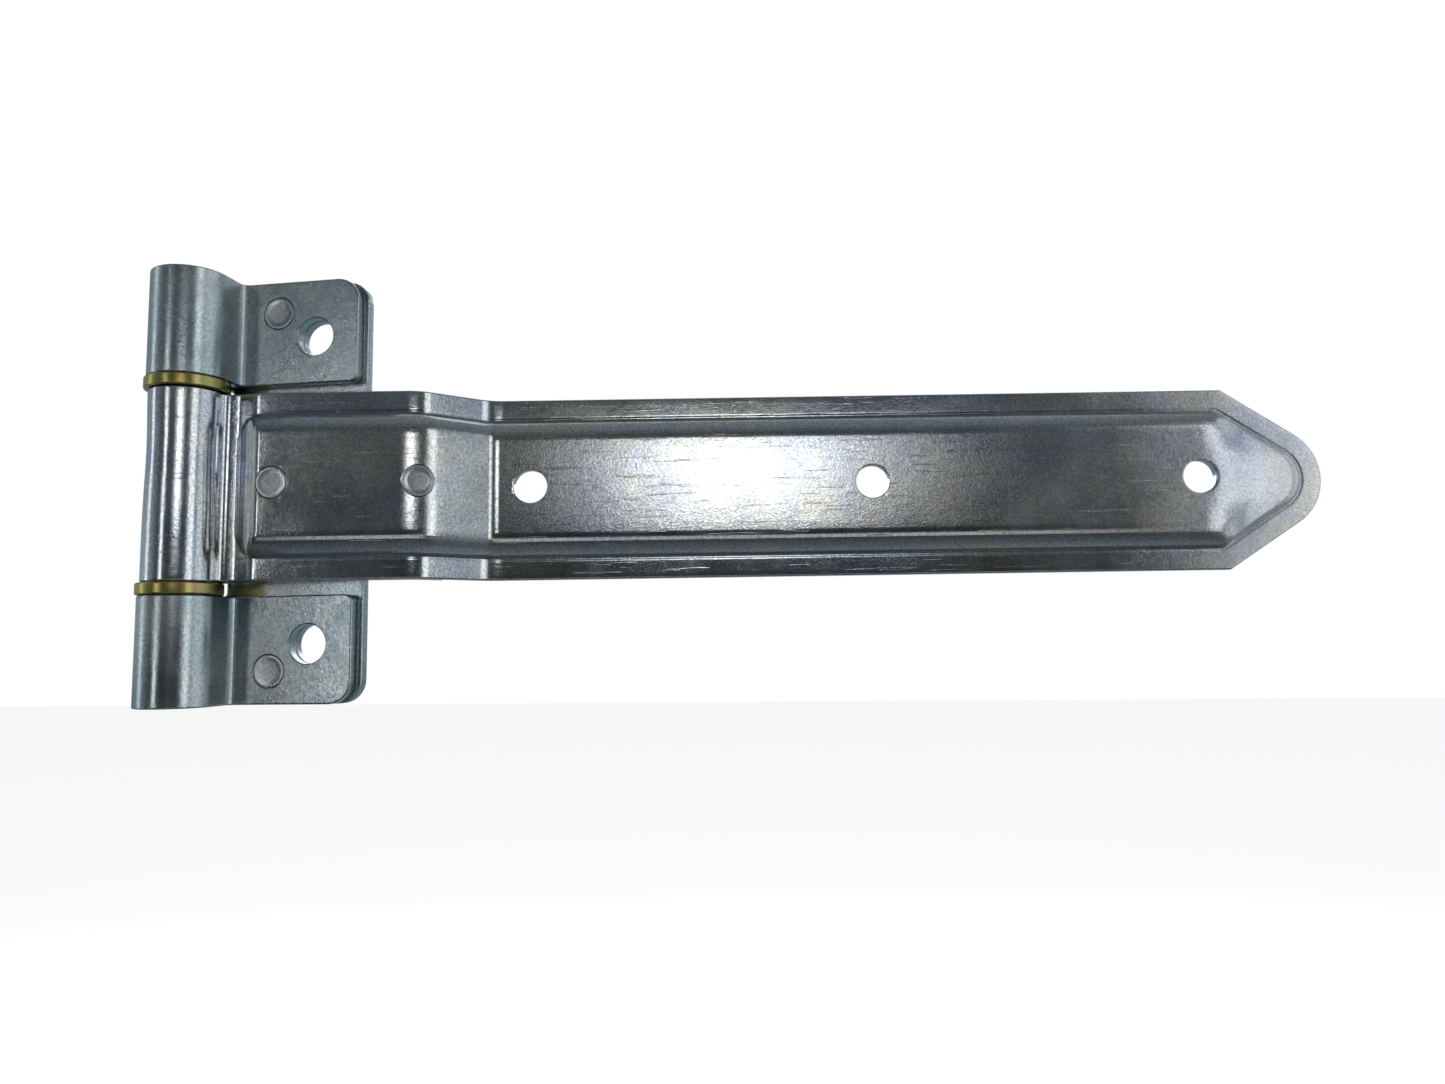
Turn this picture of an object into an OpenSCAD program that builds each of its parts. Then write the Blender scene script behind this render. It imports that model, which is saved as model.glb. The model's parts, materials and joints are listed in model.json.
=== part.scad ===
// Heavy T hinge: a folded frame bracket, a long embossed strap, a pin, two spacer washers and four rivets.
// The origin is midway between the bracket's two bolt holes, on its rear mounting face.
// +X runs from the pin towards the strap's tip, +Z runs up along the pin, and the front faces -Y.
// Both leaves are drawn with the pin on the Z axis and are then moved to the pin's place.

/* [Barrel] */
// Diameter of the pin
pin_d = 12.9; // [12.8:0.02:12.94]
// Bore of the knuckles
bore_d = 13; // [12.98:0.01:13.02]
// Height of the barrel and of the bracket
barrel_h = 110.4; // [109:0.2:112]
// How far the pin's ends sit inside the barrel
pin_recess = 0.5; // [0.2:0.1:1]
// Chamfer on the pin's ends
pin_chamfer = 1; // [0.5:0.1:1.5]

/* [Washers] */
// Outer diameter of a spacer washer
washer_d = 20; // [19.4:0.2:20.4]
// Thickness of a spacer washer
washer_t = 3; // [2.8:0.1:3.1]
// Free play above and below each washer
washer_play = 0.12; // [0.1:0.01:0.15]
// Bore of a spacer washer
washer_bore_d = 13.04; // [13:0.01:13.08]

/* [Bracket] */
// Thickness of the bracket's sheet
bracket_t = 3; // [2.8:0.1:3.1]
// Gap between the front tabs and the back plate
ply_gap = 0.15; // [0.1:0.05:0.2]
// Distance from the pin's axis back to the mounting face
mount_y = 14; // [13.8:0.1:14.4]
// Distance from the pin's axis to the bolt holes
bolt_x = 30; // [29:0.5:31]
// Distance between the two bolt holes
bolt_pitch = 80; // [79:0.5:81]
// Diameter of the bolt holes
bolt_d = 10; // [9:0.5:11]
// Reach of the back plate from the pin's axis
plate_x = 43.3; // [42:0.1:44]
// Reach of the front tabs from the pin's axis
tab_x = 42; // [41:0.1:43]
// Radius of the outer corners
corner_r = 6; // [5:0.5:7]
// Radius of the bend where a tab leaves its knuckle
neck_r = 1.5; // [1.2:0.1:2]

/* [Strap] */
// Thickness of the strap's sheet
strap_t = 2.5; // [2.4:0.05:2.5]
// Width of the strap
strap_w = 48.2; // [48:0.1:48.6]
// Distance from the pin's axis to the strap's tip
strap_x = 295.7; // [290:0.5:300]
// Start of the chamfers at the tip
shoulder_x = 270.3; // [268:0.1:272]
// Angle between a chamfer and the strap's length
chamfer_a = 33; // [32:0.5:34]
// Height of the flange's front face before the step, forward of the pin's axis
flange_y = 0.9; // [0.7:0.1:1.1]
// Middle of the step down to the mounting face
step_x = 67.5; // [66:0.5:69]
// Steepest angle of the step
step_a = 38; // [35:1:40]
// Radius of the two bends of the step, at the flange's front face
step_r = 9.6; // [9:0.1:10]
// Angle by which the folded strap passes the bracket
fold_a = 8.5; // [8:0.1:8.6]

/* [Embossed panel] */
// Height of the panel above the flanges
panel_h = 5; // [4:0.1:5.5]
// Width of the panel at its base
panel_w = 37; // [36:0.5:38]
// Radius of the panel's shoulders
panel_r = 6.75; // [6.5:0.05:7]
// Diameter of the three fixing holes
fix_d = 8.6; // [8.4:0.1:9]
// Distance from the pin's axis to the first fixing hole
fix_a_x = 86.7; // [86:0.1:87.5]
// Distance from the pin's axis to the second fixing hole
fix_b_x = 175.9; // [174:0.1:178]
// Distance from the pin's axis to the third fixing hole
fix_c_x = 261.2; // [259:0.1:263]

/* [Rivets] */
// Diameter of the rivets' shanks
shank_d = 6; // [5:0.5:6]
// Diameter of the bracket rivets' flush heads
bracket_head_d = 8.5; // [8:0.1:9]
// Diameter of the strap rivets' flush heads
strap_head_d = 8.1; // [7.8:0.1:8.4]
// Depth of a flush head
head_t = 1.2; // [1:0.1:1.4]
// Distance from the pin's axis to the bracket rivets
bracket_rivet_x = 19.6; // [19:0.1:20]
// Height of the bracket rivets above and below the middle
bracket_rivet_z = 46.8; // [46:0.1:47.5]
// Distance from the pin's axis to the inner strap rivet
inner_rivet_x = 24.8; // [24.6:0.1:26]
// Place of the outer strap rivet around the step's first bend
outer_rivet_a = 19; // [14:1:20]

/* [Hidden] */
round_fn = 72;
over = 1;
rivet_play = 0.03;

// Barrel: the middle knuckle ends a washer gap short of each outer knuckle
bore_r = bore_d / 2;
frame_barrel_r = bore_r + bracket_t;
strap_barrel_r = bore_r + strap_t;
mid_half_h = 24.35;
outer_start = mid_half_h + washer_t + 2 * washer_play;
outer_h = barrel_h / 2 - outer_start;
lead_a = 30;

// Bracket: y counts backwards from the pin's axis
plate_front = mount_y - bracket_t;
tab_front = plate_front - ply_gap - bracket_t;
neck_x = frame_barrel_r + neck_r;
window_x = 4;
tab_set_in = 0.1;
tab_inner_z = outer_start + tab_set_in;
tab_inner_r = 2;
lead_r = 5;
lead_len = (mount_y - frame_barrel_r * cos(lead_a) - lead_r * (1 - cos(lead_a))) / sin(lead_a);

// Strap neck: a valley beside the knuckle, from which the flanges and the panel rise
strap_half_w = strap_w / 2;
valley_y = 0.6;
valley_r = 2.5;
valley_start = sqrt(pow(strap_barrel_r + valley_r, 2) - pow(valley_y - valley_r, 2));
valley_end = 12.6;
flange_rise_end = 19;
panel_rise_end = 21.6;
return_r = 3;
// The return leaves the knuckle from this far under its surface
return_sink = 0.1;
ply_pitch = strap_t + ply_gap;

// Step: two bends and the ramp between them
step_drop = mount_y - strap_t + flange_y;
ramp_len = (step_drop - 2 * step_r * (1 - cos(step_a))) / sin(step_a);
step_half = step_r * sin(step_a) + ramp_len * cos(step_a) / 2;
step_start = step_x - step_half;
step_end = step_x + step_half;
second_ply_ramp = 5;
bend_steps = 6;

// Panel: its shoulder is an arc about (panel_z, panel_h - panel_r) across the strap
panel_half_w = panel_w / 2;
panel_z = panel_half_w - sqrt(pow(panel_r, 2) - pow(panel_r - panel_h, 2));
tip_start = 266;
edge_inset = strap_half_w - panel_half_w;
// Distance from the pin's axis to the chamfer's line, square to it
chamfer_reach = shoulder_x * sin(chamfer_a) + strap_half_w * cos(chamfer_a);
nose_r = (chamfer_reach / sin(chamfer_a) - strap_x) / (1 / sin(chamfer_a) - 1);
nose_x = strap_x - nose_r;

function arc(cx, cy, r, a0, a1, n) =
    [for (i = [0:n]) let (a = a0 + (a1 - a0) * i / n) [cx + r * cos(a), cy + r * sin(a)]];
function flip(points) = [for (i = [len(points) - 1:-1:0]) points[i]];
function shift_y(points, dy) = [for (p = points) [p[0], p[1] + dy]];
// A smooth rise from one height to another along X
function rise(x0, x1, y0, y1, n) =
    [for (i = [0:n]) [x0 + (x1 - x0) * i / n, y0 + (y1 - y0) * (1 - cos(180 * i / n)) / 2]];

// Half of the strap's cross-section as [height, z], for the surface at a depth below the front face
function half_section(depth) =
    let (r = panel_r - depth,
         base = max(0, (panel_r - panel_h - depth) / r),
         a = asin(base))
    concat([[-depth, strap_half_w],
            [-depth, base > 0 ? strap_half_w - edge_inset / 2 : panel_z + r]],
           [for (p = arc(panel_z, panel_h - panel_r, r, a, 90, 5)) [p[1], p[0]]]);
function mirror_z(points) = [for (p = flip(points)) [p[0], -p[1]]];
function surface_line(depth) = concat(half_section(depth), mirror_z(half_section(depth)));
function sheet_section(depth) = concat(surface_line(depth), flip(surface_line(depth + strap_t)));

// The tip's outline, set in from the strap's edge
function tip_outline(inset) =
    let (z = strap_half_w - inset,
         corner = (chamfer_reach - inset - z * cos(chamfer_a)) / sin(chamfer_a))
    concat([[tip_start, -z], [corner, -z]],
           arc(nose_x, 0, nose_r - inset, chamfer_a - 90, 90 - chamfer_a, 10),
           [[corner, z], [tip_start, z]]);

module at_pin() { translate([-bolt_x, -mount_y, 0]) children(); }
module strap_place() { at_pin() rotate([0, 0, fold_a]) children(); }
module upright(h) { translate([0, 0, -h / 2]) linear_extrude(h) children(); }
module bore(d, h) { cylinder(d = d, h = h, center = true, $fn = round_fn); }

// A round hole or shank square to the front face, from one depth to another
module cross_cylinder(d, y0, y1) {
    translate([0, y0, 0]) rotate([-90, 0, 0]) cylinder(d = d, h = y1 - y0, $fn = round_fn);
}

// A rivet with a flush head at each end
module flush_rivet(head_d, y0, y1, play) {
    cross_cylinder(shank_d + 2 * play, y0, y1);
    cross_cylinder(head_d + 2 * play, y0, y0 + head_t + play);
    cross_cylinder(head_d + 2 * play, y1 - head_t - play, y1);
}

// Plan of a flat leaf, with rounded corners on the side away from the pin
module leaf_plan(x0, x1, z0, z1, r_low, r_high) {
    difference() {
        translate([x0, z0]) square([x1 - x0, z1 - z0]);
        translate([x1 - r_low, z0 - over]) square([r_low + over, r_low + over]);
        translate([x1 - r_high, z1 - r_high]) square([r_high + over, r_high + over]);
    }
    translate([x1 - r_low, z0 + r_low]) circle(r = r_low, $fn = round_fn);
    translate([x1 - r_high, z1 - r_high]) circle(r = r_high, $fn = round_fn);
}

module through_y(y0, y1) { translate([0, y1, 0]) rotate([90, 0, 0]) linear_extrude(y1 - y0) children(); }

// Plan of the lead: a straight off the knuckle's rear and the bend into the back plate
module lead_plan() {
    lead_x = -frame_barrel_r * sin(lead_a) + lead_len * cos(lead_a);
    lead_end = lead_x + lead_r * sin(lead_a);
    polygon(concat([[-frame_barrel_r * sin(lead_a), frame_barrel_r * cos(lead_a)]],
                   arc(lead_end, mount_y - lead_r, lead_r, 90 + lead_a, 90, 6),
                   [[neck_x, mount_y], [neck_x, plate_front]],
                   arc(lead_end, mount_y - lead_r, lead_r - bracket_t, 90, 90 + lead_a, 6),
                   [[-bore_r * sin(lead_a), bore_r * cos(lead_a)]]));
}

// A knuckle of the bracket, with the bend into its tab and the lead to the back plate
module bracket_knuckle(z0) {
    side = concat([[bore_r, 0], [frame_barrel_r, 0]],
                  arc(neck_x, tab_front - neck_r, neck_r, 180, 90, 6),
                  arc(neck_x, tab_front - neck_r, neck_r + bracket_t, 90, 180, 6));
    translate([0, 0, z0]) linear_extrude(outer_h) {
        circle(r = frame_barrel_r, $fn = round_fn);
        polygon(side);
        lead_plan();
    }
}

// Between the knuckles the sheet starts at the window's edge, part of the way along the lead
module lead_behind_window() {
    upright(2 * outer_start) intersection() {
        lead_plan();
        translate([window_x, 0]) square([neck_x - window_x, mount_y]);
    }
}

module frame_bracket() {
    half_h = barrel_h / 2;
    color("lightsteelblue") at_pin() difference() {
        union() {
            bracket_knuckle(outer_start);
            bracket_knuckle(-half_h);
            lead_behind_window();
            through_y(plate_front, mount_y)
                leaf_plan(neck_x, plate_x, -half_h, half_h, corner_r, corner_r);
            through_y(tab_front, tab_front + bracket_t) {
                leaf_plan(neck_x, tab_x, tab_inner_z, half_h, tab_inner_r, corner_r);
                leaf_plan(neck_x, tab_x, -half_h, -tab_inner_z, corner_r, tab_inner_r);
            }
        }
        bore(bore_d, barrel_h + 2 * over);
        for (side = [-1, 1]) {
            translate([bolt_x, 0, side * bolt_pitch / 2])
                cross_cylinder(bolt_d, tab_front - over, mount_y + over);
            translate([bracket_rivet_x, 0, side * bracket_rivet_z])
                flush_rivet(bracket_head_d, tab_front, mount_y, rivet_play);
        }
    }
}

// The strap's cross-section run straight along X from the front face's line
module straight_run(length, depth) {
    rotate([90, 0, 90]) linear_extrude(length) polygon([for (p = sheet_section(depth)) [-p[0], p[1]]]);
}

// Places along the flange's front line as [x, y, heading]: level, down the step and level again
first_bend = [for (i = [0:bend_steps]) let (a = step_a * i / bend_steps)
    [step_start + step_r * sin(a), step_r * (1 - cos(a)) - flange_y, a]];
second_bend = [for (i = [bend_steps:-1:0]) let (a = step_a * i / bend_steps)
    [step_end - step_r * sin(a), step_drop - flange_y - step_r * (1 - cos(a)), a]];
level_start = [[panel_rise_end, -flange_y, 0]];
front_ply_line = concat(level_start, first_bend, second_bend, [[tip_start, step_drop - flange_y, 0]]);
ramp_start = first_bend[bend_steps];
back_ply_line = concat(level_start, first_bend,
    [[ramp_start[0] + second_ply_ramp * cos(step_a), ramp_start[1] + second_ply_ramp * sin(step_a), step_a]]);

// The point at a height over a place and a distance across the strap
function on_line(s, height, z) = [s[0] + height * sin(s[2]), s[1] - height * cos(s[2]), z];

// The strap's cross-section carried along a line of places
module sheet_sweep(line, depth) {
    section = sheet_section(depth);
    n = len(section);
    points = [for (s = line, p = section) on_line(s, p[0], p[1])];
    sides = [for (k = [0:len(line) - 2], i = [0:n - 1]) let (j = (i + 1) % n)
        [(k + 1) * n + i, (k + 1) * n + j, k * n + j, k * n + i]];
    last = (len(line) - 1) * n;
    ends = [for (i = [0:n / 2 - 2]) each [
        [i + 1, n - 2 - i, n - 1 - i, i],
        [last + i, last + n - 1 - i, last + n - 2 - i, last + i + 1]]];
    polyhedron(points, concat(sides, ends), convexity = 6);
}

// One ply beside the knuckle: two rising flanges, and the panel's end wall between its side walls
module panel_start(depth) {
    flange_line = shift_y(rise(valley_end, flange_rise_end, valley_y, -flange_y, 6), depth);
    panel_line = shift_y(rise(valley_end, panel_rise_end, valley_y, -flange_y - panel_h, 8), depth);
    flange = concat([[valley_start, valley_y + depth]], flange_line,
                    [[panel_rise_end, depth - flange_y], [panel_rise_end, depth - flange_y + strap_t]],
                    flip(shift_y(flange_line, strap_t)), [[valley_start, valley_y + depth + strap_t]]);
    ramp_sheet = concat([[valley_start, valley_y + depth]], panel_line,
                        flip(shift_y(panel_line, strap_t)), [[valley_start, valley_y + depth + strap_t]]);
    below = concat(panel_line, [[panel_rise_end, mount_y], [valley_end, mount_y]]);
    length = panel_rise_end - valley_end;
    rail_w = strap_half_w - panel_half_w + strap_t;
    for (side = [-1, 1])
        translate([0, 0, side * (strap_half_w - rail_w / 2)]) upright(rail_w) polygon(flange);
    intersection() {
        upright(panel_w) polygon(ramp_sheet);
        translate([valley_start, -flange_y, 0]) rotate([90, 0, 90])
            linear_extrude(panel_rise_end - valley_start)
                polygon(concat([for (p = surface_line(depth)) [-p[0], p[1]]],
                               [[mount_y, -strap_half_w], [mount_y, strap_half_w]]));
    }
    intersection() {
        upright(panel_w) polygon(below);
        translate([valley_end, -flange_y, 0]) straight_run(length, depth);
    }
}

// The middle knuckle, solid as far as the split between the two plies
module strap_knuckle() {
    tangent = strap_barrel_r / (strap_barrel_r + valley_r);
    back_y = valley_y + ply_pitch + strap_t;
    slope_x = (strap_barrel_r - return_sink) * sin(lead_a);
    slope_y = (strap_barrel_r - return_sink) * cos(lead_a);
    slope_len = (slope_y - back_y - return_r * (1 - cos(lead_a))) / sin(lead_a);
    return_x = slope_x + slope_len * cos(lead_a) + return_r * sin(lead_a);
    start_a = atan2(valley_y - valley_r, valley_start) + 180;
    core = concat(arc(valley_start, valley_y - valley_r, valley_r, start_a, 90, 8),
                  [[valley_start, back_y]],
                  flip(arc(return_x, back_y + return_r, return_r, 270 - lead_a, 270, 4)),
                  [[slope_x, slope_y], [bore_r / 2, 0],
                   [valley_start * tangent - over, (valley_y - valley_r) * tangent]]);
    cylinder(r = strap_barrel_r, h = 2 * mid_half_h, center = true, $fn = round_fn);
    upright(strap_w) polygon(core);
}

// The front ply beyond the neck: rings run out along one side, round the tip and back along the other,
// and go in over the front face and out again behind it
module front_ply() {
    low_y = mount_y - strap_t;
    rings = concat(half_section(0), flip(half_section(strap_t)));
    turn = len(rings) / 2;
    line = front_ply_line;
    places = len(line);
    n = 2 * places + len(tip_outline(0)) - 2;
    points = [for (ring = rings) each concat(
        [for (s = line) on_line(s, ring[0], -ring[1])],
        [for (p = tip_outline(strap_half_w - ring[1])) if (p[0] > tip_start) [p[0], low_y - ring[0], p[1]]],
        [for (s = flip(line)) on_line(s, ring[0], ring[1])])];
    skin = [for (k = [0:2 * turn - 1], j = [0:n - 2]) if (k != turn - 1) let (next = (k + 1) % (2 * turn))
        [k * n + j, k * n + j + 1, next * n + j + 1, next * n + j]];
    middle = [for (j = [0:places - 2]) each let (front = (turn - 1) * n, back = turn * n) [
        [front + j, front + j + 1, front + n - 2 - j, front + n - 1 - j],
        [back + n - 1 - j, back + n - 2 - j, back + j + 1, back + j]]];
    nose = [[for (j = [places - 1:n - places]) (turn - 1) * n + j],
            [for (j = [n - places:-1:places - 1]) turn * n + j]];
    cut = [for (k = [0:turn - 2]) let (far = 2 * turn - 1 - k) each [
        [(k + 1) * n + n - 1, (far - 1) * n + n - 1, far * n + n - 1, k * n + n - 1],
        [k * n, far * n, (far - 1) * n, (k + 1) * n]]];
    cut_middle = [[(turn - 1) * n + n - 1, (turn - 1) * n, turn * n, turn * n + n - 1]];
    polyhedron(points, concat(skin, middle, nose, cut, cut_middle), convexity = 6);
}

// The outer strap rivet stands square to the step's first bend
module outer_rivet_place() {
    translate([step_start, step_r - flange_y, 0]) rotate([0, 0, outer_rivet_a])
        translate([0, -step_r - panel_h, 0]) children();
}
module inner_rivet_place() { translate([inner_rivet_x, -flange_y - panel_h, 0]) children(); }
module strap_rivet(play) { flush_rivet(strap_head_d, 0, ply_pitch + strap_t, play); }

module strap_leaf() {
    low_y = mount_y - strap_t;
    color("silver") strap_place() difference() {
        union() {
            strap_knuckle();
            for (depth = [0, ply_pitch]) panel_start(depth);
            front_ply();
            sheet_sweep(back_ply_line, ply_pitch);
        }
        bore(bore_d, strap_w + 2 * over);
        for (x = [fix_a_x, fix_b_x, fix_c_x])
            translate([x, 0, 0]) cross_cylinder(fix_d, low_y - panel_h - over, mount_y);
        inner_rivet_place() strap_rivet(rivet_play);
        outer_rivet_place() strap_rivet(rivet_play);
    }
}

module hinge_pin() {
    r = pin_d / 2;
    half_h = barrel_h / 2 - pin_recess;
    color("gray") at_pin() rotate_extrude($fn = round_fn)
        polygon([[0, -half_h], [r - pin_chamfer, -half_h], [r, -half_h + pin_chamfer],
                 [r, half_h - pin_chamfer], [r - pin_chamfer, half_h], [0, half_h]]);
}

// A spacer washer in the gap above (+1) or below (-1) the middle knuckle
module washer(side) {
    color("goldenrod") at_pin()
        translate([0, 0, side * (mid_half_h + washer_play + washer_t / 2)])
            difference() {
                bore(washer_d, washer_t);
                bore(washer_bore_d, washer_t + 2 * over);
            }
}
module upper_washer() { washer(1); }
module lower_washer() { washer(-1); }

module bracket_rivet(side) {
    color("slategray") at_pin() translate([bracket_rivet_x, 0, side * bracket_rivet_z])
        flush_rivet(bracket_head_d, tab_front, mount_y, 0);
}
module upper_bracket_rivet() { bracket_rivet(1); }
module lower_bracket_rivet() { bracket_rivet(-1); }

module inner_strap_rivet() { color("slategray") strap_place() inner_rivet_place() strap_rivet(0); }
module outer_strap_rivet() { color("slategray") strap_place() outer_rivet_place() strap_rivet(0); }

frame_bracket();
strap_leaf();
hinge_pin();
upper_washer();
lower_washer();
upper_bracket_rivet();
lower_bracket_rivet();
inner_strap_rivet();
outer_strap_rivet();
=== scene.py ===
import json
import math

import bmesh
import bpy
from mathutils import Matrix, Vector


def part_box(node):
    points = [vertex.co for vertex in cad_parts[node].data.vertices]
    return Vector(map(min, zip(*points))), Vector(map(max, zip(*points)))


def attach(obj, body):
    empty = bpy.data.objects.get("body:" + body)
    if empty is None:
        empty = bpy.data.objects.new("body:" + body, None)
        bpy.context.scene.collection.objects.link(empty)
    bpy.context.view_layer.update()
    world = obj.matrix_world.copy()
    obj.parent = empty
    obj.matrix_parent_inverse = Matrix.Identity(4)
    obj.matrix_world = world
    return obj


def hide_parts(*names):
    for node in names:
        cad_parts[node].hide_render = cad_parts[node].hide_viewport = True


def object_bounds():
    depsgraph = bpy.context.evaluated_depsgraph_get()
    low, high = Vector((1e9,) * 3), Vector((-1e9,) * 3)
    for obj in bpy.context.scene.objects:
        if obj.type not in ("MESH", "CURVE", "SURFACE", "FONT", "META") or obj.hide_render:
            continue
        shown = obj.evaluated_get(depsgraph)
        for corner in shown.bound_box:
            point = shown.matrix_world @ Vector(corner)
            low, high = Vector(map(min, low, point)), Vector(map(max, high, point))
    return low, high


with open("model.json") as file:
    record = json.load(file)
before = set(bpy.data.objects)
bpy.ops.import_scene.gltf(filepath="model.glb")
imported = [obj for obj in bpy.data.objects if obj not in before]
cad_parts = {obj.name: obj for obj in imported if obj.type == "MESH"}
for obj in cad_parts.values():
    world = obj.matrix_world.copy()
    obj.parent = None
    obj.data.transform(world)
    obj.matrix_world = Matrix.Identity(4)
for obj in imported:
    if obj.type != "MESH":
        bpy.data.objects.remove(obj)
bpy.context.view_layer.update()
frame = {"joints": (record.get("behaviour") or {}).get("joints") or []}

# Metal parts are drawn in millimetres about the pin's axis, with x along a leaf, y towards the front
# and z up. finish_mesh() then puts them in the row frame.
MM = 0.001
JOINTS = {joint["name"]: joint for joint in frame["joints"]}
PIN = Vector(JOINTS["strap_swing"]["pos_m"])
FOLD = math.radians(8.5)

BORE_R = 6.5
BARREL_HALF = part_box("frame_bracket")[1].z / MM
OUTER_START = 27.6
BRACKET_T = 3.0
STRAP_T = 2.5
PLY_GAP = 0.15
WASHER_HALF = 1.5
WASHER_GAP = 0.12
MOUNT_Y = -14.0

TAB_Y = MOUNT_Y + 2 * BRACKET_T + PLY_GAP
TAB_X = 42.0
PLATE_X = 43.3
WINDOW_X = 4.0
CORNER_R = 6.0
BOLT_X = 30.0
BOLT_Z = 40.0
BOLT_R = 5.0
BRACKET_RIVET = (19.6, 46.8)
BRACKET_HEAD_R = 4.2

STRAP_HALF = 24.1
KNUCKLE_HALF = 24.35
FLANGE_Y = 0.9
LOW_Y = MOUNT_Y + STRAP_T
PANEL_H = 5.0
PANEL_R = 6.75
PANEL_HALF = 18.5
GROOVE_Z = 18.65
GROOVE_W = 0.55
PANEL_Z = PANEL_HALF - math.sqrt(PANEL_R ** 2 - (PANEL_R - PANEL_H) ** 2)
STEP_X = 67.5
STEP_A = math.radians(38)
STEP_R = 9.6
STEP_RAMP = (FLANGE_Y - LOW_Y - 2 * STEP_R * (1 - math.cos(STEP_A))) / math.sin(STEP_A)
STEP_HALF = STEP_R * math.sin(STEP_A) + STEP_RAMP * math.cos(STEP_A) / 2
STEP_START = STEP_X - STEP_HALF
STEP_END = STEP_X + STEP_HALF
BACK_PLY = STRAP_T + PLY_GAP
BACK_TAIL = 5.0
RETURN_A = 30
VALLEY_Y = -0.6
VALLEY_END = 12.6
FLANGE_RISE_END = 19.0
PANEL_RISE_END = 21.6
END_CORNER_R = 7.0
TIP_X = 295.7
SHOULDER_X = 270.3
CHAMFER = math.radians(33)
TIP_START = 262.0
NOSE_R = 8.0
TIP_SHOULDER = 15.0
TIP_BLEND = 13
FIX_X = (86.7, 175.9, 261.2)
FIX_R = 4.3
STRAP_HEAD_R = 4.0
INNER_RIVET_X = 24.8
OUTER_RIVET_A = math.radians(19)
RIVET_SEAM = 0.12

WORLD_TINT = (0.84, 1, 1.12)
PHOTO_W = 1445
FOCAL_W = 1000
SENSOR = 36


# ---- mesh helpers

def new_object(name, verts, faces):
    mesh = bpy.data.meshes.new(name)
    mesh.from_pydata([tuple(v) for v in verts], [], faces)
    obj = bpy.data.objects.new(name, mesh)
    bpy.context.scene.collection.objects.link(obj)
    return obj


def clean(obj, weld=0.002):
    """Joins doubled points, drops faces with no area and turns the normals outwards."""
    bm = bmesh.new()
    bm.from_mesh(obj.data)
    bmesh.ops.remove_doubles(bm, verts=bm.verts, dist=weld)
    bmesh.ops.dissolve_degenerate(bm, edges=bm.edges, dist=weld / 2)
    bmesh.ops.recalc_face_normals(bm, faces=bm.faces)
    bm.to_mesh(obj.data)
    bm.free()
    return obj


def apply_modifiers(obj):
    graph = bpy.context.evaluated_depsgraph_get()
    mesh = bpy.data.meshes.new_from_object(obj.evaluated_get(graph))
    obj.modifiers.clear()
    obj.data = mesh


def join(objects):
    """One mesh object from several."""
    bm = bmesh.new()
    for obj in objects:
        bm.from_mesh(obj.data)
        bpy.data.objects.remove(obj)
    mesh = bpy.data.meshes.new("joined")
    bm.to_mesh(mesh)
    bm.free()
    obj = bpy.data.objects.new("joined", mesh)
    bpy.context.scene.collection.objects.link(obj)
    return obj


def cut(obj, cutters):
    tool = join(cutters)
    mod = obj.modifiers.new("cut", "BOOLEAN")
    mod.operation = "DIFFERENCE"
    mod.solver = "EXACT"
    mod.object = tool
    bpy.context.view_layer.update()
    apply_modifiers(obj)
    bpy.data.objects.remove(tool)


def bevel(obj, width, segments, angle=30):
    mod = obj.modifiers.new("bevel", "BEVEL")
    mod.width = width
    mod.segments = segments
    mod.limit_method = "ANGLE"
    mod.angle_limit = math.radians(angle)
    apply_modifiers(obj)


def arc(x, y, r, a0, a1, n):
    """Points on an arc, with its angles in degrees."""
    out = []
    for i in range(n + 1):
        a = math.radians(a0 + (a1 - a0) * i / n)
        out.append((x + r * math.cos(a), y + r * math.sin(a)))
    return out


def lathe(name, profile, place, axis, segments=96, bore=False):
    """A body of revolution: profile is [(radius, along)], from one end to the other, or a ring with
    a bore."""
    along = Vector(axis).normalized()
    side = along.orthogonal().normalized()
    other = along.cross(side)
    n = len(profile)
    verts = []
    for i in range(segments):
        a = 2 * math.pi * i / segments
        out = side * math.cos(a) + other * math.sin(a)
        verts += [Vector(place) + out * r + along * h for r, h in profile]
    faces = []
    for i in range(segments):
        j = (i + 1) % segments
        for k in range(n if bore else n - 1):
            m = (k + 1) % n
            faces.append((i * n + k, j * n + k, j * n + m, i * n + m))
    return clean(new_object(name, verts, faces))


def hole_cutter(place, axis, radius, front, back, lip=0.35):
    """A round cutter that flares where it meets each face, so that the hole's rims come out rounded."""
    wide = radius + lip
    profile = [(0, back - 1), (wide, back - 1), (wide, back)]
    profile += [(r, h) for r, h in arc(wide, back + lip, lip, 270, 180, 4)[1:]]
    profile += [(r, h) for r, h in arc(wide, front - lip, lip, 180, 90, 4)[:-1]]
    profile += [(wide, front), (wide, front + 1), (0, front + 1)]
    return lathe("cutter", profile, place, axis, 64)


def finish_mesh(obj, leaf=None, sharp=35):
    """Puts a mesh drawn about the pin into the row frame and smooths all but its sharp edges."""
    turn = Matrix.Rotation(FOLD if leaf == "strap" else 0, 4, "Z")
    obj.data.transform(Matrix.Translation(PIN) @ turn @ Matrix.Diagonal((MM, -MM, MM, 1)))
    obj.data.flip_normals()
    obj.data.shade_smooth()
    obj.data.set_sharp_from_angle(angle=math.radians(sharp))
    mod = obj.modifiers.new("even_normals", "WEIGHTED_NORMAL")
    mod.keep_sharp = True
    return obj


def dress(obj, body, node, material):
    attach(obj, body)
    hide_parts(node)
    obj.data.materials.clear()
    obj.data.materials.append(material)


# ---- the strap: one sheet that runs from its back ply round the knuckle and out to the tip

def smooth_rise(x, x0, x1):
    t = min(1, max(0, (x - x0) / (x1 - x0)))
    return (1 - math.cos(math.pi * t)) / 2


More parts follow.
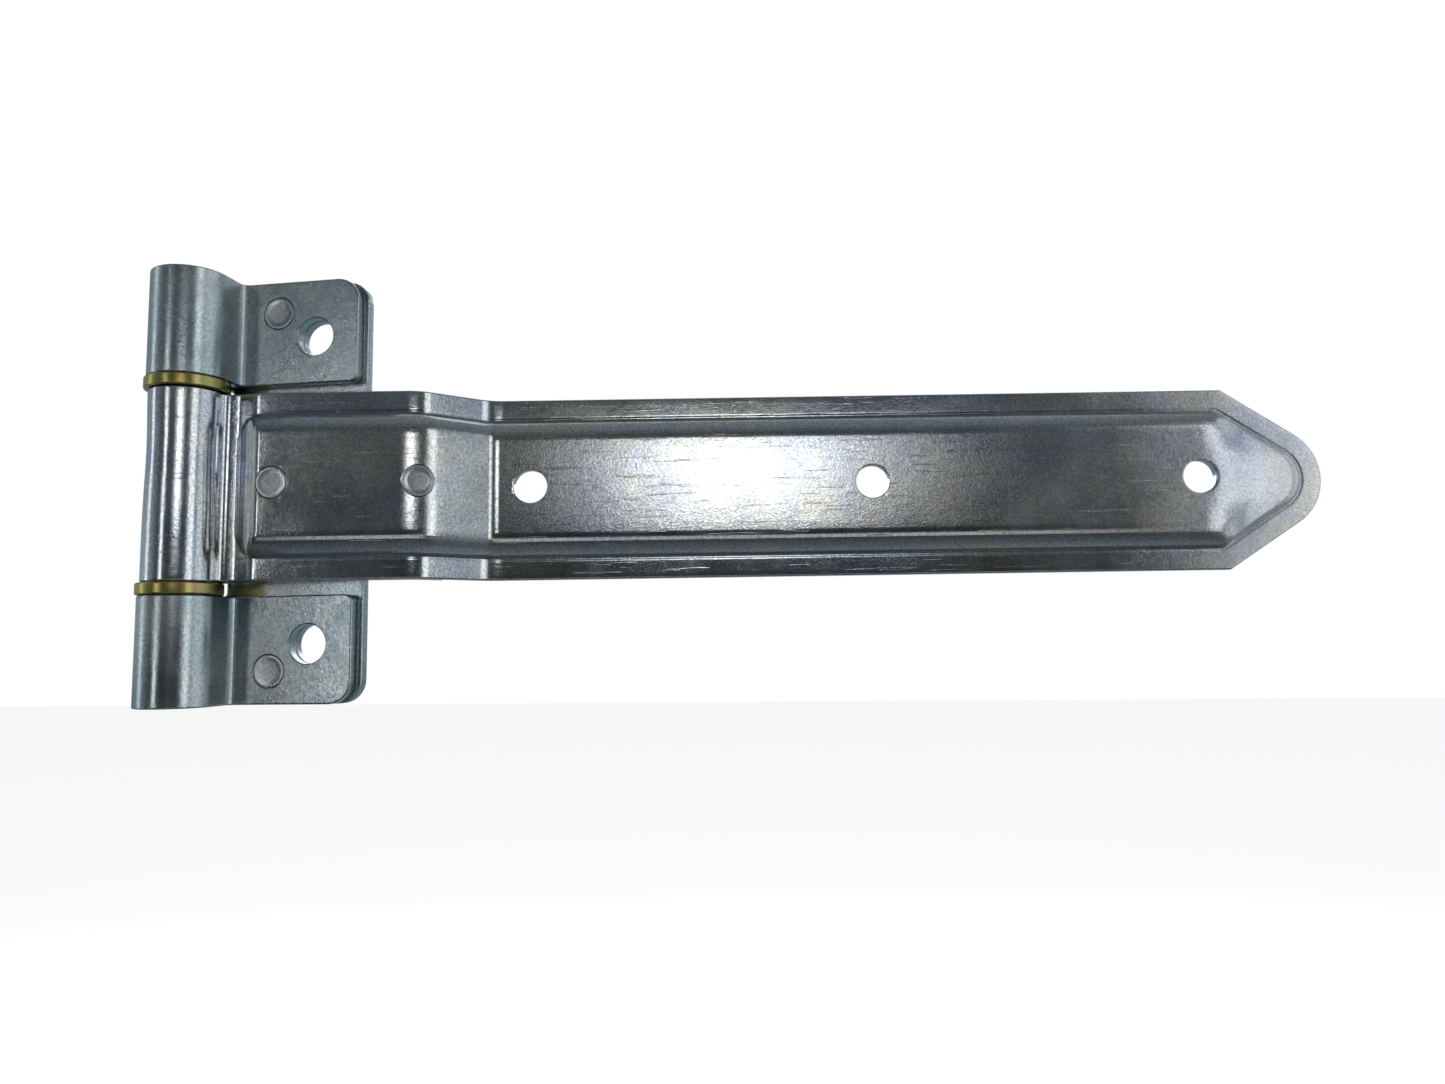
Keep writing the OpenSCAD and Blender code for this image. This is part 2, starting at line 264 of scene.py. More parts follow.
def flange_line(x):
    return VALLEY_Y + (FLANGE_Y - VALLEY_Y) * smooth_rise(x, VALLEY_END, FLANGE_RISE_END)


def panel_share(x):
    """How much of its full height over the flanges the panel has reached, from 0 to 1."""
    top = FLANGE_Y + PANEL_H
    line = VALLEY_Y + (top - VALLEY_Y) * smooth_rise(x, VALLEY_END, PANEL_RISE_END)
    return min(1, max(0, (line - flange_line(x)) / PANEL_H))


def panel_height(z, depth, share, inset=0.0):
    """The panel's height over the flange for the surface at a depth inside the sheet."""
    r = PANEL_R - depth
    over = abs(z) + inset - PANEL_Z
    if over <= 0:
        height = PANEL_H
    elif over >= r:
        height = 0
    else:
        height = PANEL_H - PANEL_R + math.sqrt(r * r - over * over) + depth
    across = max(0, height) / PANEL_H
    # the corners where the side walls meet the end wall are rounded
    gap = ((1 - across) ** 3 + (1 - share) ** 3) ** (1 / 3)
    return PANEL_H * max(0, 1 - gap)


def corner_inset(x):
    """How far the panel's sides turn in towards its end wall."""
    left = min(END_CORNER_R, max(0, VALLEY_END + END_CORNER_R - x))
    return END_CORNER_R - math.sqrt(END_CORNER_R ** 2 - left ** 2)


def strap_line():
    """Places along the sheet's outer side as (x, y, ply, share): ply is back, knuckle or front."""
    ring = BORE_R + STRAP_T
    rear = BACK_PLY + STRAP_T
    leave_a = math.radians(RETURN_A)
    line = []
    bend = (STEP_START, FLANGE_Y - STEP_R)
    back_r = STEP_R - rear
    end = arc(*bend, back_r, 90 - math.degrees(STEP_A), 90, 8)
    first = Vector((end[0][0], end[0][1]))
    tail = Vector((math.cos(STEP_A), -math.sin(STEP_A))) * BACK_TAIL
    line += [(*(first + tail * (1 - i / 3)), "back", 1) for i in range(3)]
    line += [(x, y, "back", 1) for x, y in end]
    steps = 12
    line += [(STEP_START + (PANEL_RISE_END - STEP_START) * i / steps, FLANGE_Y - rear, "back", 1)
             for i in range(1, steps + 1)]
    steps = 14
    for i in range(1, steps + 1):
        x = PANEL_RISE_END + (VALLEY_END - PANEL_RISE_END) * i / steps
        line.append((x, flange_line(x) - rear, "back", panel_share(x)))
    # the return: a concave bend, a slope and the ring, which it meets RETURN_A before the pin's rear
    low = VALLEY_Y - rear
    leave = (ring * math.sin(leave_a), -ring * math.cos(leave_a))
    return_r = 3.0
    bend_drop = return_r * (1 - math.cos(leave_a))
    slope_x = (low - bend_drop - leave[1]) / math.tan(leave_a)
    centre = leave[0] + slope_x + return_r * math.sin(leave_a)
    line += [(x, y, "knuckle", 0)
             for x, y in arc(centre, low - return_r, return_r, 90, 90 + RETURN_A, 6)]
    valley_r = 2.5
    hub_y = VALLEY_Y + valley_r
    hub_x = math.sqrt((ring + valley_r) ** 2 - hub_y ** 2)
    touch = math.degrees(math.atan2(hub_y, hub_x))
    line += [(x, y, "knuckle", 0) for x, y in arc(0, 0, ring, RETURN_A - 90, touch - 360, 72)]
    line += [(x, y, "front", 0) for x, y in arc(hub_x, hub_y, valley_r, 180 + touch, 270, 9)[1:]]
    steps = 18
    for i in range(0, steps + 1):
        x = VALLEY_END + (PANEL_RISE_END - VALLEY_END) * i / steps
        line.append((x, flange_line(x), "front", panel_share(x)))
    steps = 12
    line += [(PANEL_RISE_END + (STEP_START - PANEL_RISE_END) * i / steps, FLANGE_Y, "front", 1)
             for i in range(1, steps)]
    a = math.degrees(STEP_A)
    line += [(x, y, "front", 1) for x, y in arc(*bend, STEP_R, 90, 90 - a, 12)]
    ramp_from = line[-1]
    steps = 5
    line += [(ramp_from[0] + STEP_RAMP * math.cos(STEP_A) * i / steps,
              ramp_from[1] - STEP_RAMP * math.sin(STEP_A) * i / steps, "front", 1)
             for i in range(1, steps)]
    line += [(x, y, "front", 1) for x, y in arc(STEP_END, LOW_Y + STEP_R, STEP_R, 270 - a, 270, 12)]
    steps = 60
    line += [(STEP_END + (TIP_START - STEP_END) * i / steps, LOW_Y, "front", 1)
             for i in range(1, steps + 1)]
    return line


def outward(line, i):
    """The direction out of the sheet's outer side, to the left of the way along it."""
    a, b = line[max(0, i - 1)], line[min(len(line) - 1, i + 1)]
    way = Vector((b[0] - a[0], b[1] - a[1])).normalized()
    return Vector((-way.y, way.x))


def flange_relief(z, depth):
    """A flange's outer side falls slightly to its edge, from a fine groove at the panel's base."""
    off = (abs(z) - GROOVE_Z) / GROOVE_W
    if depth or off < -1:
        return 0
    fall = min(1, max(0, (STRAP_HALF - abs(z)) / (STRAP_HALF - GROOVE_Z)))
    return 0.14 * fall - 0.09 * math.exp(-2 * off * off)


def tip_height(x, z, depth):
    """Towards the tip the panel's shoulders grow long and gentle above a low step."""
    steep = panel_height(z, depth, 1)
    inset = min(1, max(0, (PANEL_HALF - z) / TIP_SHOULDER))
    gentle = PANEL_H * (0.35 * smooth_rise(PANEL_HALF - z, 0, 1.5) + 0.65 * (1 - (1 - inset) ** 1.2))
    soft = smooth_rise(x, TIP_START, TIP_START + TIP_BLEND)
    return steep + (gentle - steep) * soft + flange_relief(z, depth)


def strap_rows():
    """Rows round half of the sheet's cross-section as (z, depth): from the outer side's middle out to
    the rounded edge, and back along the inner side to its middle."""
    edge = 0.5
    marks = [0, 2, 4, 6, 8, 10, PANEL_Z]
    for depth in (0, STRAP_T, BACK_PLY, BACK_PLY + STRAP_T):
        r = PANEL_R - depth
        base = math.degrees(math.asin(max(0, (PANEL_R - PANEL_H - depth) / r)))
        steps = 10 if depth == 0 else 5
        marks += [PANEL_Z + r * math.cos(math.radians(base + (90 - base) * i / steps))
                  for i in range(steps)]
        marks.append(PANEL_Z + r * math.cos(math.radians(base)) + 0.06)
    marks += [GROOVE_Z + GROOVE_W * t for t in (-0.3, -0.1, 0.2, 0.5, 0.8, 1.1, 1.5)]
    marks += [20.6, 22.2, STRAP_HALF - edge]
    marks.sort()
    kept = [marks[0]]
    for z in marks[1:]:
        if z - kept[-1] > 0.03:
            kept.append(z)
    outer = [(z, 0.0) for z in kept]
    turn = [(x, STRAP_T - y) for x, y in arc(STRAP_HALF - edge, STRAP_T - edge, edge, 90, 0, 4)[1:]]
    turn += [(x, STRAP_T - y) for x, y in arc(STRAP_HALF - edge, edge, edge, 0, -90, 4)]
    inner = [(z, STRAP_T) for z in reversed(kept[:-1])]
    return outer + turn + inner


def tip_ring(z):
    """The tip's outline set in until it is z from the middle, from its upper side round to its lower."""
    inset = STRAP_HALF - z
    reach = SHOULDER_X * math.sin(CHAMFER) + STRAP_HALF * math.cos(CHAMFER)
    nose_r = (reach / math.sin(CHAMFER) - TIP_X) / (1 / math.sin(CHAMFER) - 1)
    corner = (reach - inset - z * math.cos(CHAMFER)) / math.sin(CHAMFER)
    # the panel's nose is blunter than the strap's
    r = min(max(nose_r - inset, NOSE_R), 0.97 * z / math.cos(CHAMFER))
    nose_x = (reach - inset - r) / math.sin(CHAMFER)
    nose = arc(nose_x, 0, r, 90 - math.degrees(CHAMFER), math.degrees(CHAMFER) - 90, 24)
    half = []
    for i in range(4):
        half.append((TIP_START + (corner - TIP_START) * i / 4, z))
    for i in range(8):
        half.append((corner + (nose[0][0] - corner) * i / 8, z + (nose[0][1] - z) * i / 8))
    return half[1:] + nose + [(x, -y) for x, y in reversed(half[1:])]


def sheet_point(line, i, z, depth):
    x, y, ply, share = line[i]
    out = outward(line, i)
    if ply == "knuckle" and depth < STRAP_T / 2:
        # the middle knuckle is slightly waisted above its middle
        waist = math.exp(-((z - 9) / 11) ** 2) * 0.35
        depth += waist * min(1, (STRAP_T - depth) / STRAP_T)
    base = Vector((x, y)) - out * depth
    if ply == "front":
        base += out * (panel_height(z, depth, share, corner_inset(x)) + flange_relief(z, depth) * share)
    if ply == "back":
        base -= out * panel_height(z, BACK_PLY + STRAP_T - depth, share, corner_inset(x))
    stretch = KNUCKLE_HALF / STRAP_HALF if ply == "knuckle" else 1
    return base.x, base.y, z * stretch


def build_strap():
    line = strap_line()
    rows = strap_rows()
    verts = []
    for z, depth in rows:
        verts += [sheet_point(line, i, z, depth) for i in range(len(line))]
        verts += [(x, LOW_Y - depth + tip_height(x, z, depth), w) for x, w in tip_ring(z)]
        verts += [sheet_point(line, i, -z, depth) for i in reversed(range(len(line)))]
    n = len(verts) // len(rows)
    faces = []
    for k in range(len(rows) - 1):
        for j in range(n - 1):
            faces.append((k * n + j, k * n + j + 1, (k + 1) * n + j + 1, (k + 1) * n + j))
    # the cut end of the back ply
    last = len(rows) - 1
    for k in range(len(rows) // 2):
        m = last - k
        if m - k < 2:
            continue
        faces.append((k * n, (k + 1) * n, (m - 1) * n, m * n))
        faces.append((k * n + n - 1, m * n + n - 1, (m - 1) * n + n - 1, (k + 1) * n + n - 1))
    obj = clean(new_object("strap_sheet", verts, faces), 0.004)
    low_panel = LOW_Y + PANEL_H
    cutters = [hole_cutter((x, low_panel, 0), (0, 1, 0), FIX_R, 0, -STRAP_T) for x in FIX_X]
    stack = BACK_PLY + STRAP_T
    for place, axis in strap_rivet_places():
        cutters.append(hole_cutter(place, axis, STRAP_HEAD_R + RIVET_SEAM, 0, -stack, 0.2))
    cut(obj, cutters)
    return finish_mesh(obj, "strap")


def strap_rivet_places():
    top = Vector((math.sin(OUTER_RIVET_A), math.cos(OUTER_RIVET_A), 0))
    centre = Vector((STEP_START, FLANGE_Y - STEP_R, 0))
    return [((INNER_RIVET_X, FLANGE_Y + PANEL_H, 0), (0, 1, 0)),
            (tuple(centre + top * (STEP_R + PANEL_H)), tuple(top))]


# ---- the bracket: a flat blank with its holes, folded round the pin

def rounded(corners, steps=8):
    """A closed outline with each corner (s, z, radius) rounded."""
    out = []
    n = len(corners)
    for i, (s, z, r) in enumerate(corners):
        here = Vector((s, z))
        to_a = (Vector(corners[i - 1][:2]) - here).normalized()
        to_b = (Vector(corners[(i + 1) % n][:2]) - here).normalized()
        centre = here + (to_a + to_b) * r
        for k in range(steps + 1):
            t = math.pi / 2 * k / steps
            out.append(centre - to_b * r * math.cos(t) - to_a * r * math.sin(t))
    return out


class FoldLine:
    """The blank's folded line, made of straights and bends, where a place is a distance along it."""

    def __init__(self, x, y, heading):
        self.parts = []
        self.end = (x, y, math.radians(heading))
        self.length = 0.0

    def go(self, length, turn=0.0):
        curve = math.radians(turn) / length
        self.parts.append((self.length, length, self.end, curve))
        self.end = self.along(self.parts[-1], length)
        self.length += length

    @staticmethod
    def along(part, d):
        x, y, a = part[2]
        curve = part[3]
        if not curve:
            return x + d * math.cos(a), y + d * math.sin(a), a
        b = a + d * curve
        return x + (math.sin(b) - math.sin(a)) / curve, y - (math.cos(b) - math.cos(a)) / curve, b

    def at(self, s):
        for part in self.parts:
            if s < part[0] + part[1]:
                break
        return self.along(part, s - part[0])

    def reach(self, x):
        """The last place along the line that lies x from the pin's axis."""
        s = self.length
        while self.at(s)[0] > x:
            s -= 0.02
        return s

    def creases(self, step):
        """Where the blank is divided so that it can bend."""
        out = []
        for start, length, _, curve in self.parts:
            n = max(1, math.ceil(length / step)) if curve else 1
            out += [start + length * i / n for i in range(n)]
        return out[1:]


def bracket_line():
    """The sheet's outer side: back along a front tab, round the pin and out along the back plate."""
    ring = BORE_R + BRACKET_T
    neck_r = 1.5
    lead = 30
    lead_r = 5.0
    line = FoldLine(TAB_X, TAB_Y, 180)
    line.go(TAB_X - ring - neck_r)
    line.go(neck_r * math.pi / 2, -90)
    line.go(-(TAB_Y + neck_r))
    line.go(ring * math.radians(270 - lead), 270 - lead)
    cos_lead = math.cos(math.radians(lead))
    drop = -MOUNT_Y - ring * cos_lead - lead_r * (1 - cos_lead)
    line.go(drop / math.sin(math.radians(lead)))
    line.go(lead_r * math.radians(lead), lead)
    line.go(PLATE_X - line.end[0])
    return line


def build_bracket():
    line = bracket_line()
    length = line.length
    window = line.reach(WINDOW_X)
    top = BARREL_HALF
    outline = rounded([(0, -top, CORNER_R), (length, -top, CORNER_R), (length, top, CORNER_R),
                       (0, top, CORNER_R), (0, OUTER_START, 2), (window, OUTER_START, 1.2),
                       (window, -OUTER_START, 1.2), (0, -OUTER_START, 2)])
    n = len(outline)
    verts = [(s, 0, z) for s, z in outline] + [(s, -BRACKET_T, z) for s, z in outline]
    faces = [tuple(range(n)), tuple(reversed(range(n, 2 * n)))]
    faces += [(i, n + i, n + (i + 1) % n, (i + 1) % n) for i in range(n)]
    obj = clean(new_object("bracket_sheet", verts, faces))
    bevel(obj, 0.45, 3)
    cutters = []
    rivet_x, rivet_z = BRACKET_RIVET
    for side in (-1, 1):
        for s in (TAB_X - BOLT_X, length - (PLATE_X - BOLT_X)):
            cutters.append(hole_cutter((s, 0, side * BOLT_Z), (0, 1, 0), BOLT_R, 0, -BRACKET_T, 0.4))
        for s in (TAB_X - rivet_x, length - (PLATE_X - rivet_x)):
            cutters.append(hole_cutter((s, 0, side * rivet_z), (0, 1, 0), BRACKET_HEAD_R + RIVET_SEAM,
                                       0, -BRACKET_T, 0.25))
    cut(obj, cutters)
    bm = bmesh.new()
    bm.from_mesh(obj.data)
    for s in line.creases(0.55):
        bmesh.ops.bisect_plane(bm, geom=bm.verts[:] + bm.edges[:] + bm.faces[:], dist=1e-4,
                               plane_co=(s, 0, 0), plane_no=(1, 0, 0))
    for vert in bm.verts:
        x, y, a = line.at(vert.co.x)
        # the outer side lies to the right of the way along the line
        out = Vector((math.sin(a), -math.cos(a)))
        vert.co = Vector((x + out.x * vert.co.y, y + out.y * vert.co.y, vert.co.z))
    bmesh.ops.recalc_face_normals(bm, faces=bm.faces)
    bm.to_mesh(obj.data)
    bm.free()
    return finish_mesh(obj)


# ---- turned pieces

def build_pin():
    half = BARREL_HALF - 0.5
    r = 6.45
    end = [(0, half - 0.35), (2.2, half - 0.3), (3.0, half - 0.05), (r - 1.1, half)]
    end += arc(r - 1.1, half - 1.1, 1.1, 90, 0, 6)[1:]
    profile = end + [(x, -z) for x, z in reversed(end)]
    return finish_mesh(lathe("pin", profile, (0, 0, 0), (0, 0, 1)))


def build_washer(name, side):
    inner, outer, half, edge = 6.52, 10.0, WASHER_HALF, 0.45
    profile = arc(outer - edge, half - edge, edge, 90, 0, 5)
    profile += arc(outer - edge, edge - half, edge, 0, -90, 5)
    profile += [(inner + 0.3, -half), (inner, 0.3 - half), (inner, half - 0.3), (inner + 0.3, half)]
    middle = KNUCKLE_HALF + WASHER_GAP + half
    return finish_mesh(lathe(name, profile, (0, 0, side * middle), (0, 0, 1), 128, bore=True))


def build_rivet(name, place, axis, head_r, stack, dish, leaf=None):
    """A coined rivet: its flush heads have a rounded rim and a slightly sunken face."""
    rim = 0.22
    face = [(0, -dish), (head_r * 0.55, -dish), (head_r * 0.72, -dish * 0.8), (head_r * 0.82, 0)]
    face += arc(head_r - rim, -rim, rim, 90, 0, 4)
    shank = 3.0
    head = [(r, h) for r, h in face] + [(head_r, -1.2), (shank, -1.2)]
    profile = head + [(r, -stack - h) for r, h in reversed(head)]
    return finish_mesh(lathe(name, profile, place, axis, 64), leaf)


# ---- materials

class Nodes:
    """A small helper for building one material's nodes."""

    def __init__(self, name):
        self.material = bpy.data.materials.new(name)
        self.material.use_nodes = True
        self.tree = self.material.node_tree
        self.tree.nodes.clear()
        self.output = self.add("ShaderNodeOutputMaterial")
        self.shader = self.add("ShaderNodeBsdfPrincipled")
        self.link(self.shader.outputs[0], self.output.inputs[0])
        self.place = self.add("ShaderNodeTexCoord").outputs["Object"]

    def add(self, kind, **values):
        node = self.tree.nodes.new(kind)
        for key, value in values.items():
            if hasattr(node, key):
                setattr(node, key, value)
            else:
                node.inputs[key].default_value = value
        return node

    def link(self, a, b):
        self.tree.links.new(a, b)

    def noise(self, scale, detail=4, roughness=0.55, place=None):
        node = self.add("ShaderNodeTexNoise")
        node.inputs["Scale"].default_value = scale
        node.inputs["Detail"].default_value = detail
        node.inputs["Roughness"].default_value = roughness
        self.link(place or self.place, node.inputs["Vector"])
        return node.outputs[0]

    def ramp(self, value, stops):
        node = self.add("ShaderNodeValToRGB")
        ramp = node.color_ramp
        while len(ramp.elements) < len(stops):
            ramp.elements.new(0.5)
        for element, (at, color) in zip(ramp.elements, stops):
            element.position = at
            element.color = (*color, 1)
        self.link(value, node.inputs[0])
        return node.outputs[0]

    def spread(self, value, low, high, from_low=0.3, from_high=0.7):
        node = self.add("ShaderNodeMapRange")
        for socket, number in zip(node.inputs[1:5], (from_low, from_high, low, high)):
            socket.default_value = number
        self.link(value, node.inputs[0])
        return node.outputs[0]

    def mix(self, share, a, b, blend="MIX"):
        node = self.add("ShaderNodeMix")
        node.data_type = "RGBA"
        node.blend_type = blend
        if isinstance(share, (int, float)):
            node.inputs[0].default_value = share
        else:
            self.link(share, node.inputs[0])
        self.link(a, node.inputs[6])
        self.link(b, node.inputs[7])
        return node.outputs[2]

    def bump(self, height, distance, strength=1.0, normal=None):
        node = self.add("ShaderNodeBump")
        node.inputs["Strength"].default_value = strength
        node.inputs["Distance"].default_value = distance
        self.link(height, node.inputs["Height"])
        if normal:
            self.link(normal, node.inputs["Normal"])
        return node.outputs[0]


def zinc(name, tints, rough, grain, scratches, matt_end=0.0):
    """Bright zinc plate: cloudy tints, uneven gloss, fine grain, scratches on worn faces, and for the
    strap a matter far end."""
    m = Nodes(name)
    m.shader.inputs["Metallic"].default_value = 1
    cloud = m.noise(32, 6, 0.7)
    color = m.ramp(cloud, [(0.28, tints[0]), (0.45, tints[1]), (0.57, tints[2]), (0.75, tints[3])])
    fleck = m.spread(m.noise(1700, 2), 0.72, 1.12)
    color = m.mix(1.0, color, fleck, "MULTIPLY")
    m.link(color, m.shader.inputs["Base Color"])
    patches = m.spread(m.noise(75, 5, 0.6), rough[0], rough[1])
    split = m.add("ShaderNodeSeparateXYZ")
    m.link(m.place, split.inputs[0])
    far = m.spread(split.outputs["X"], 0, matt_end, 0.17, 0.25)
    total = m.add("ShaderNodeMath", operation="ADD")
    m.link(patches, total.inputs[0])
    m.link(far, total.inputs[1])
    m.link(total.outputs[0], m.shader.inputs["Roughness"])
    normal = m.bump(m.noise(2200, 3, 0.6), grain)
    normal = m.bump(m.noise(420, 2, 0.5), grain * 0.9, 1.0, normal)
    if scratches:
        for turn, at in ((0.6, 0.0), (-0.75, 3.1)):
            mapping = m.add("ShaderNodeMapping")
            mapping.inputs["Location"].default_value = (at, at, at)
            mapping.inputs["Rotation"].default_value = (0, turn, 0)
            mapping.inputs["Scale"].default_value = (55, 55, 1400)
            m.link(m.place, mapping.inputs["Vector"])
            hair = m.spread(m.noise(1.0, 1, 0.3, mapping.outputs[0]), 0, 1, 0.7, 0.74)
            normal = m.bump(hair, scratches, 0.6, normal)
    m.link(normal, m.shader.inputs["Normal"])
    return m.material


def yellow_plate():
    """Yellow passivated zinc: gold, with olive and pink patches."""
    m = Nodes("yellow_plate")
    m.shader.inputs["Metallic"].default_value = 1
    m.shader.inputs["Roughness"].default_value = 0.26
    color = m.ramp(m.noise(260, 3), [(0.3, (0.42, 0.24, 0.15)), (0.44, (0.42, 0.33, 0.1)),
                                     (0.56, (0.3, 0.31, 0.1)), (0.7, (0.42, 0.26, 0.2))])
    m.link(color, m.shader.inputs["Base Color"])
    m.link(m.bump(m.noise(1500, 2), 0.00002), m.shader.inputs["Normal"])
    return m.material


def plain(name, color, rough):
    m = Nodes(name)
    m.shader.inputs["Roughness"].default_value = rough
    grey = m.spread(m.noise(6, 2), 0.97, 1.0)
    tint = m.ramp(grey, [(0.0, tuple(c * 0.97 for c in color)), (1.0, color)])
    m.link(tint, m.shader.inputs["Base Color"])
    return m.material


# ---- the pieces

STRAP_ZINC = zinc("strap_zinc", [(0.42, 0.48, 0.60), (0.52, 0.55, 0.60), (0.58, 0.59, 0.57),
                                 (0.52, 0.52, 0.42)], (0.11, 0.2), 0.00002, 0.00002, 0.13)
BRACKET_ZINC = zinc("bracket_zinc", [(0.30, 0.38, 0.42), (0.40, 0.47, 0.49), (0.46, 0.51, 0.52),
                                     (0.56, 0.58, 0.56)], (0.19, 0.33), 0.00002, 0)
PIN_ZINC = zinc("pin_zinc", [(0.4, 0.42, 0.44), (0.48, 0.5, 0.52), (0.5, 0.5, 0.5), (0.46, 0.46, 0.44)],
                (0.25, 0.4), 0.00002, 0)
RIVET_ZINC = zinc("rivet_zinc", [(0.38, 0.45, 0.48), (0.46, 0.52, 0.54), (0.52, 0.56, 0.56),
                                 (0.5, 0.52, 0.48)], (0.22, 0.36), 0.00002, 0)
GOLD = yellow_plate()

dress(build_strap(), "strap", "strap_leaf", STRAP_ZINC)
dress(build_bracket(), "bracket", "frame_bracket", BRACKET_ZINC)
dress(build_pin(), "bracket", "hinge_pin", PIN_ZINC)
for side, level in ((1, "upper"), (-1, "lower")):
    dress(build_washer(level + "_spacer_ring", side), level + "_spacer", level + "_washer",
          GOLD)
    spot = (BRACKET_RIVET[0], TAB_Y, side * BRACKET_RIVET[1])
    stack = 2 * BRACKET_T + PLY_GAP
    rivet = build_rivet(level + "_bracket_coin", spot, (0, 1, 0), BRACKET_HEAD_R, stack, 0.12)
    dress(rivet, "bracket", level + "_bracket_rivet", RIVET_ZINC)
for (place, axis), name, dish in zip(strap_rivet_places(), ("inner", "outer"), (0.05, 0.22)):
    rivet = build_rivet(name + "_strap_coin", place, axis, STRAP_HEAD_R, BACK_PLY + STRAP_T, dish,
                        "strap")
    dress(rivet, "strap", name + "_strap_rivet", RIVET_ZINC)


# ---- floor, light and camera

def build_floor():
    size = 6.0
    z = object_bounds()[0][2] - 0.35
    floor = new_object("floor", [(-size, -size, z), (size, -size, z), (size, size, z), (-size, size, z)],
                       [(0, 1, 2, 3)])
    floor.data.materials.append(plain("pale_floor", (0.97, 0.97, 0.97), 0.9))
    floor.visible_glossy = False


def softbox(name, place, target, size, power):
    light = bpy.data.lights.new(name, "AREA")
    light.shape = "RECTANGLE"
    light.size, light.size_y = size
    light.energy = power
    obj = bpy.data.objects.new(name, light)
    bpy.context.scene.collection.objects.link(obj)
    obj.location = place
    obj.rotation_euler = (Vector(target) - Vector(place)).to_track_quat("-Z", "Y").to_euler()
    obj.visible_camera = False


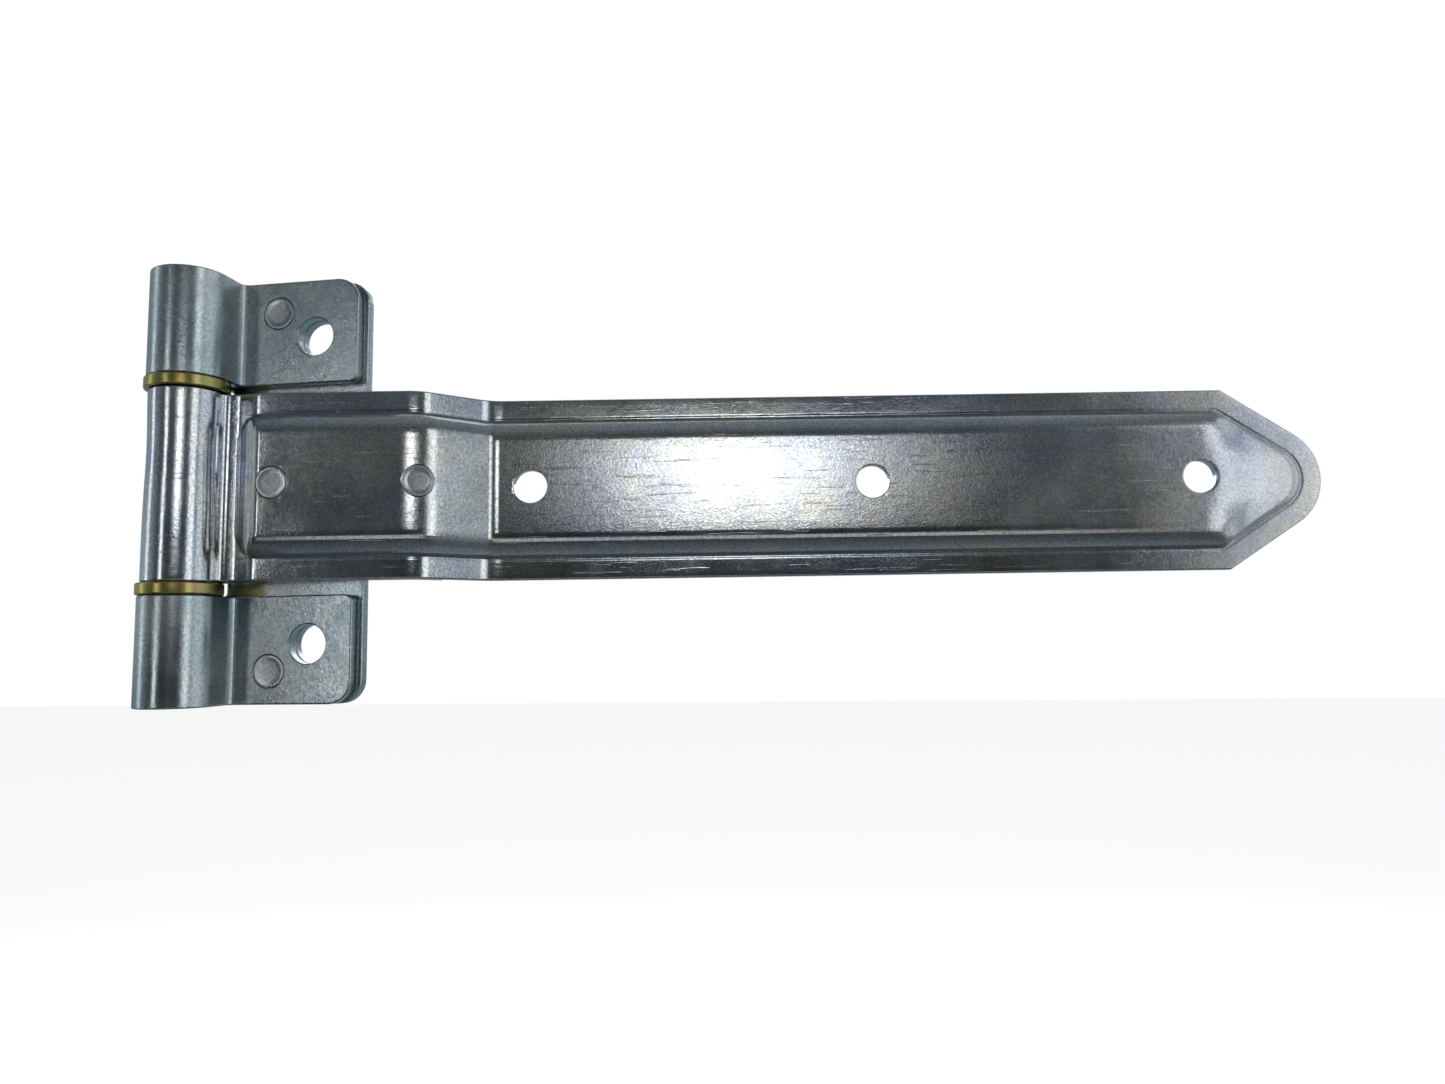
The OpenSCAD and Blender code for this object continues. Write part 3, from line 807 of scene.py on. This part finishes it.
def build_world():
    """A plain white room that the metal mirrors as a dim one: dark at eye level in front, where the
    photographer stands, and paler behind."""
    world = bpy.data.worlds.new("studio")
    bpy.context.scene.world = world
    world.use_nodes = True
    tree = world.node_tree
    tree.nodes.clear()

    def rescaled(value, low, high):
        node = tree.nodes.new("ShaderNodeMapRange")
        node.inputs[1].default_value = low
        node.inputs[2].default_value = high
        tree.links.new(value, node.inputs[0])
        return node.outputs[0]

    def by_height(stops):
        node = tree.nodes.new("ShaderNodeValToRGB")
        while len(node.color_ramp.elements) < len(stops):
            node.color_ramp.elements.new(0.5)
        for element, (level, value) in zip(node.color_ramp.elements, stops):
            element.position = (level + 1) / 2
            element.color = (value * WORLD_TINT[0], value * WORLD_TINT[1], value * WORLD_TINT[2], 1)
        tree.links.new(rescaled(split.outputs["Z"], -1, 1), node.inputs[0])
        return node.outputs[0]

    coord = tree.nodes.new("ShaderNodeTexCoord")
    split = tree.nodes.new("ShaderNodeSeparateXYZ")
    tree.links.new(coord.outputs["Generated"], split.inputs[0])
    front = by_height([(-1, 0.16), (-0.6, 0.06), (-0.35, 0.035), (-0.1, 0.025), (0, 0.035), (0.1, 0.05),
                       (0.18, 0.09), (0.6, 0.08), (1, 0.25)])
    back = by_height([(-1, 0.3), (-0.4, 0.34), (-0.05, 0.24), (0.02, 0.5), (0.25, 0.34), (0.6, 0.45),
                      (1, 0.3)])
    sides = tree.nodes.new("ShaderNodeMix")
    sides.data_type = "RGBA"
    size = tree.nodes.new("ShaderNodeMath")
    size.operation = "ABSOLUTE"
    tree.links.new(split.outputs["X"], size.inputs[0])
    either = tree.nodes.new("ShaderNodeMath")
    either.operation = "MAXIMUM"
    tree.links.new(rescaled(split.outputs["Y"], -0.15, 0.6), either.inputs[0])
    tree.links.new(rescaled(size.outputs[0], 0.62, 0.98), either.inputs[1])
    tree.links.new(either.outputs[0], sides.inputs[0])
    tree.links.new(front, sides.inputs[6])
    tree.links.new(back, sides.inputs[7])
    room = tree.nodes.new("ShaderNodeBackground")
    tree.links.new(sides.outputs[2], room.inputs[0])
    white = tree.nodes.new("ShaderNodeBackground")
    white.inputs[0].default_value = (1, 1, 1, 1)
    mix = tree.nodes.new("ShaderNodeMixShader")
    path = tree.nodes.new("ShaderNodeLightPath")
    tree.links.new(path.outputs["Is Glossy Ray"], mix.inputs[0])
    tree.links.new(white.outputs[0], mix.inputs[1])
    tree.links.new(room.outputs[0], mix.inputs[2])
    output = tree.nodes.new("ShaderNodeOutputWorld")
    tree.links.new(mix.outputs[0], output.inputs[0])


def in_strap_frame(along, front, up):
    """A point given in metres from the pin along the strap, towards the front and up."""
    turn = Matrix.Rotation(FOLD, 3, "Z")
    return PIN + turn @ Vector((along, -front, up))


def build_camera():
    tilt = math.radians(5.8)
    roll = math.radians(-0.87)
    data = bpy.data.cameras.new("camera")
    data.sensor_width = SENSOR
    data.lens = SENSOR * (FOCAL_W / PHOTO_W)
    data.clip_start = 0.01
    camera = bpy.data.objects.new("camera", data)
    bpy.context.scene.collection.objects.link(camera)
    camera.location = in_strap_frame(0.1365, 0.251, -0.0415)
    look = in_strap_frame(0, -math.cos(tilt), math.sin(tilt)) - PIN
    level = look.to_track_quat("-Z", "Y").to_matrix()
    camera.rotation_euler = (level @ Matrix.Rotation(roll, 3, "Z")).to_euler()
    bpy.context.scene.camera = camera


build_floor()
build_world()
target = in_strap_frame(0.13, 0, 0)
softbox("front_panel", in_strap_frame(0.155, 0.9, 0.16), target, (0.22, 0.09), 0.22)
softbox("front_glow", in_strap_frame(0.17, 0.92, 0.175), target, (0.46, 0.12), 0.13)
softbox("right_window", in_strap_frame(0.89, 0.72, 0.1), target, (0.34, 1.2), 1.7)
softbox("right_side", in_strap_frame(1.15, 0.05, 0.1), target, (0.8, 1.2), 1.6)
softbox("left_strip", in_strap_frame(-0.47, 0.75, 0.05), in_strap_frame(0, 0, 0), (0.08, 0.5), 0.42)
softbox("side_strip", in_strap_frame(-0.9, 0.1, 0.1), in_strap_frame(0, 0, 0), (0.16, 1.2), 0.8)
softbox("low_front", in_strap_frame(0.12, 0.8, -0.45), target, (1.0, 0.2), 0.35)
softbox("top_panel", in_strap_frame(0.1, -0.45, 0.85), target, (1.2, 0.3), 0.7)
softbox("back_panel", in_strap_frame(0.1, -1.0, 0.35), target, (0.9, 0.5), 3.5)
build_camera()
bpy.context.scene.view_settings.view_transform = "Standard"
